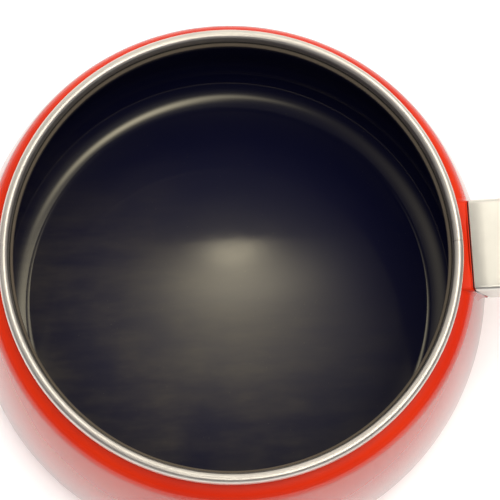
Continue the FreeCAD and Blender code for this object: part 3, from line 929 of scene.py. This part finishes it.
def hump(g, x, y, centre, widths, turn=0.0):
    """A smooth hump of height 1, about a third one width away, its first width along a turned direction."""
    dx = g.math("SUBTRACT", x, centre[0])
    dy = g.math("SUBTRACT", y, centre[1])
    c = math.cos(turn)
    s = math.sin(turn)
    total = 0.0
    for (fx, fy), width in zip(((c, s), (-s, c)), widths):
        offset = g.math("ADD", g.math("MULTIPLY", dx, fx / width), g.math("MULTIPLY", dy, fy / width))
        total = g.math("ADD", g.math("MULTIPLY", offset, offset), total)
    return g.math("EXPONENT", g.math("MULTIPLY", total, -1.0))


def patch(g, x, y, centre, widths, strength, turn=0.0):
    """A hump of light of this strength."""
    return g.math("MULTIPLY", hump(g, x, y, centre, widths, turn), strength)


def glow(g, colour, strength):
    node = g.nodes.new("ShaderNodeEmission")
    g.put(node, "Color", (*colour, 1.0))
    g.put(node, "Strength", strength)
    return node.outputs[0]


def total(g, *values):
    result = values[0]
    for value in values[1:]:
        result = g.math("ADD", result, value)
    return result


def top_panel():
    """Overhead diffuser with a straight far edge: bright in its middle, with a faint spill past the edge."""
    edge = 0.386
    edge_blur = 0.003
    spill_level = 0.7
    spill_fade = -33.0        # per metre past the edge
    obj = flat("top_panel", -0.25, 0.25, 0.02, 0.60, 1.5)
    obj.visible_camera = False
    obj.visible_shadow = False
    g = Graph(bpy.data.materials.new("panel_glow"))
    g.nodes.remove(g.nodes["Principled BSDF"])
    x, y, _ = g.split()
    core = patch(g, x, y, (0.0405, 0.373), (0.035, 0.021), strength=5.9)
    middle = patch(g, x, y, (0.042, 0.337), (0.076, 0.037), strength=3.3)
    broad = patch(g, x, y, (0.035, 0.292), (0.109, 0.084), strength=2.0)
    inside = g.span(y, edge, edge - edge_blur)
    past = g.math("MAXIMUM", g.math("SUBTRACT", y, edge), 0.0)
    spill = g.math("MULTIPLY", g.math("EXPONENT", g.math("MULTIPLY", past, spill_fade)), spill_level)
    spill = g.math("MULTIPLY", spill, hump(g, x, y, (0.04, edge), (0.10, 0.20)))
    spill = g.math("MULTIPLY", spill, g.math("SUBTRACT", 1.0, inside))
    light = g.math("ADD", g.math("MULTIPLY", total(g, core, middle, broad), inside), spill)
    g.links.new(glow(g, WARM, light), g.nodes["Material Output"].inputs["Surface"])
    obj.data.materials.append(g.owner)


def surroundings():
    """A dim cool room, which the lens sees as plain pale grey.

    It has a soft key light high on the near side, a wing beside it, weaker lights left and right, a ring of
    light round the zenith, a pale far side and a faint glow low down. Directions are given by where they
    would cross a ceiling one metre up.
    """
    lowest = 0.05             # keeps that crossing finite near the horizon
    seen = (0.93, 0.93, 0.93)
    world = bpy.data.worlds.new("studio")
    bpy.context.scene.world = world
    g = Graph(world, "Generated")
    x, y, z = g.split()
    height = g.math("MAXIMUM", z, lowest)
    u = g.math("DIVIDE", x, height)
    v = g.math("DIVIDE", y, height)
    elevation = g.math("ARCSINE", z)
    key = patch(g, u, v, (0.26, -0.30), (0.29, 0.12), strength=8.5, turn=math.radians(48.6))
    wing = patch(g, u, v, (-0.05, -0.54), (0.20, 0.10), strength=1.8)
    right = patch(g, u, v, (0.32, 0.34), (0.26, 0.24), strength=5.4)
    left = patch(g, u, v, (-0.85, 0.12), (0.40, 0.35), strength=0.6)
    band = patch(g, g.length(u, v), 0.0, (0.62, 0.0), (0.30, 1.0), strength=0.24)
    level = g.math("SQRT", g.math("SUBTRACT", 1.0, g.math("MULTIPLY", z, z)))
    side = g.math("DIVIDE", y, g.math("MAXIMUM", level, 0.001))
    far = g.math("MULTIPLY", g.span(side, 0.2, 0.9, 0.0, 0.7),
                 g.span(elevation, math.radians(70.0), math.radians(50.0)))
    room = g.span(elevation, math.radians(30.0), math.radians(22.0), 0.0, 0.25)
    light = total(g, key, wing, left, right, band, room, far)
    both = g.nodes.new("ShaderNodeAddShader")
    g.links.new(glow(g, WARM, light), both.inputs[0])
    g.links.new(glow(g, COOL, g.span(elevation, 0.0, 0.4, 0.4, 1.0)), both.inputs[1])
    choose = g.nodes.new("ShaderNodeMixShader")
    g.links.new(g.nodes.new("ShaderNodeLightPath").outputs["Is Camera Ray"], choose.inputs[0])
    g.links.new(both.outputs[0], choose.inputs[1])
    g.links.new(glow(g, seen, 1.0), choose.inputs[2])
    g.links.new(choose.outputs[0], g.nodes["World Output"].inputs["Surface"])
    bpy.context.scene.view_settings.view_transform = "Standard"


def fill_light(name, radius, height, energy):
    """A round lamp overhead that lights the floor and the enamel's own colour but isn't mirrored in them."""
    data = bpy.data.lights.new(name, "AREA")
    data.shape = "DISK"
    data.size = 2.0 * radius
    data.energy = energy
    obj = bpy.data.objects.new(name, data)
    obj.location = (0.0, 0.0, height)
    obj.visible_camera = False
    obj.visible_glossy = False
    bpy.context.scene.collection.objects.link(obj)


def camera():
    """Nearly overhead, a little to the near side, aimed at the rim."""
    aim = Vector((7.2 * MM, 0.05 * MM, RIM_HEIGHT))
    distance = 773.25 * MM
    tilt = math.radians(13.25)
    azimuth = math.radians(-98.20)
    roll = math.radians(5.53)
    back = Vector((math.sin(tilt) * math.cos(azimuth), math.sin(tilt) * math.sin(azimuth), math.cos(tilt)))
    level = Vector((-math.sin(azimuth), math.cos(azimuth), 0.0))
    right = math.cos(roll) * level + math.sin(roll) * back.cross(level)
    up = back.cross(right)
    data = bpy.data.cameras.new("camera")
    data.sensor_width = 36.0
    data.lens = 4.0 * data.sensor_width
    data.clip_start = 0.01
    data.clip_end = 50.0
    obj = bpy.data.objects.new("camera", data)
    bpy.context.scene.collection.objects.link(obj)
    turn = Matrix((right, up, back)).transposed().to_4x4()
    obj.matrix_world = Matrix.Translation(aim + distance * back) @ turn
    bpy.context.scene.camera = obj


camera()
surroundings()
floor()
top_panel()
fill_light("narrow_fill", radius=0.8, height=2.2, energy=36.0)
fill_light("broad_fill", radius=4.5, height=4.0, energy=60.0)
add_pieces()
dress_nodes()
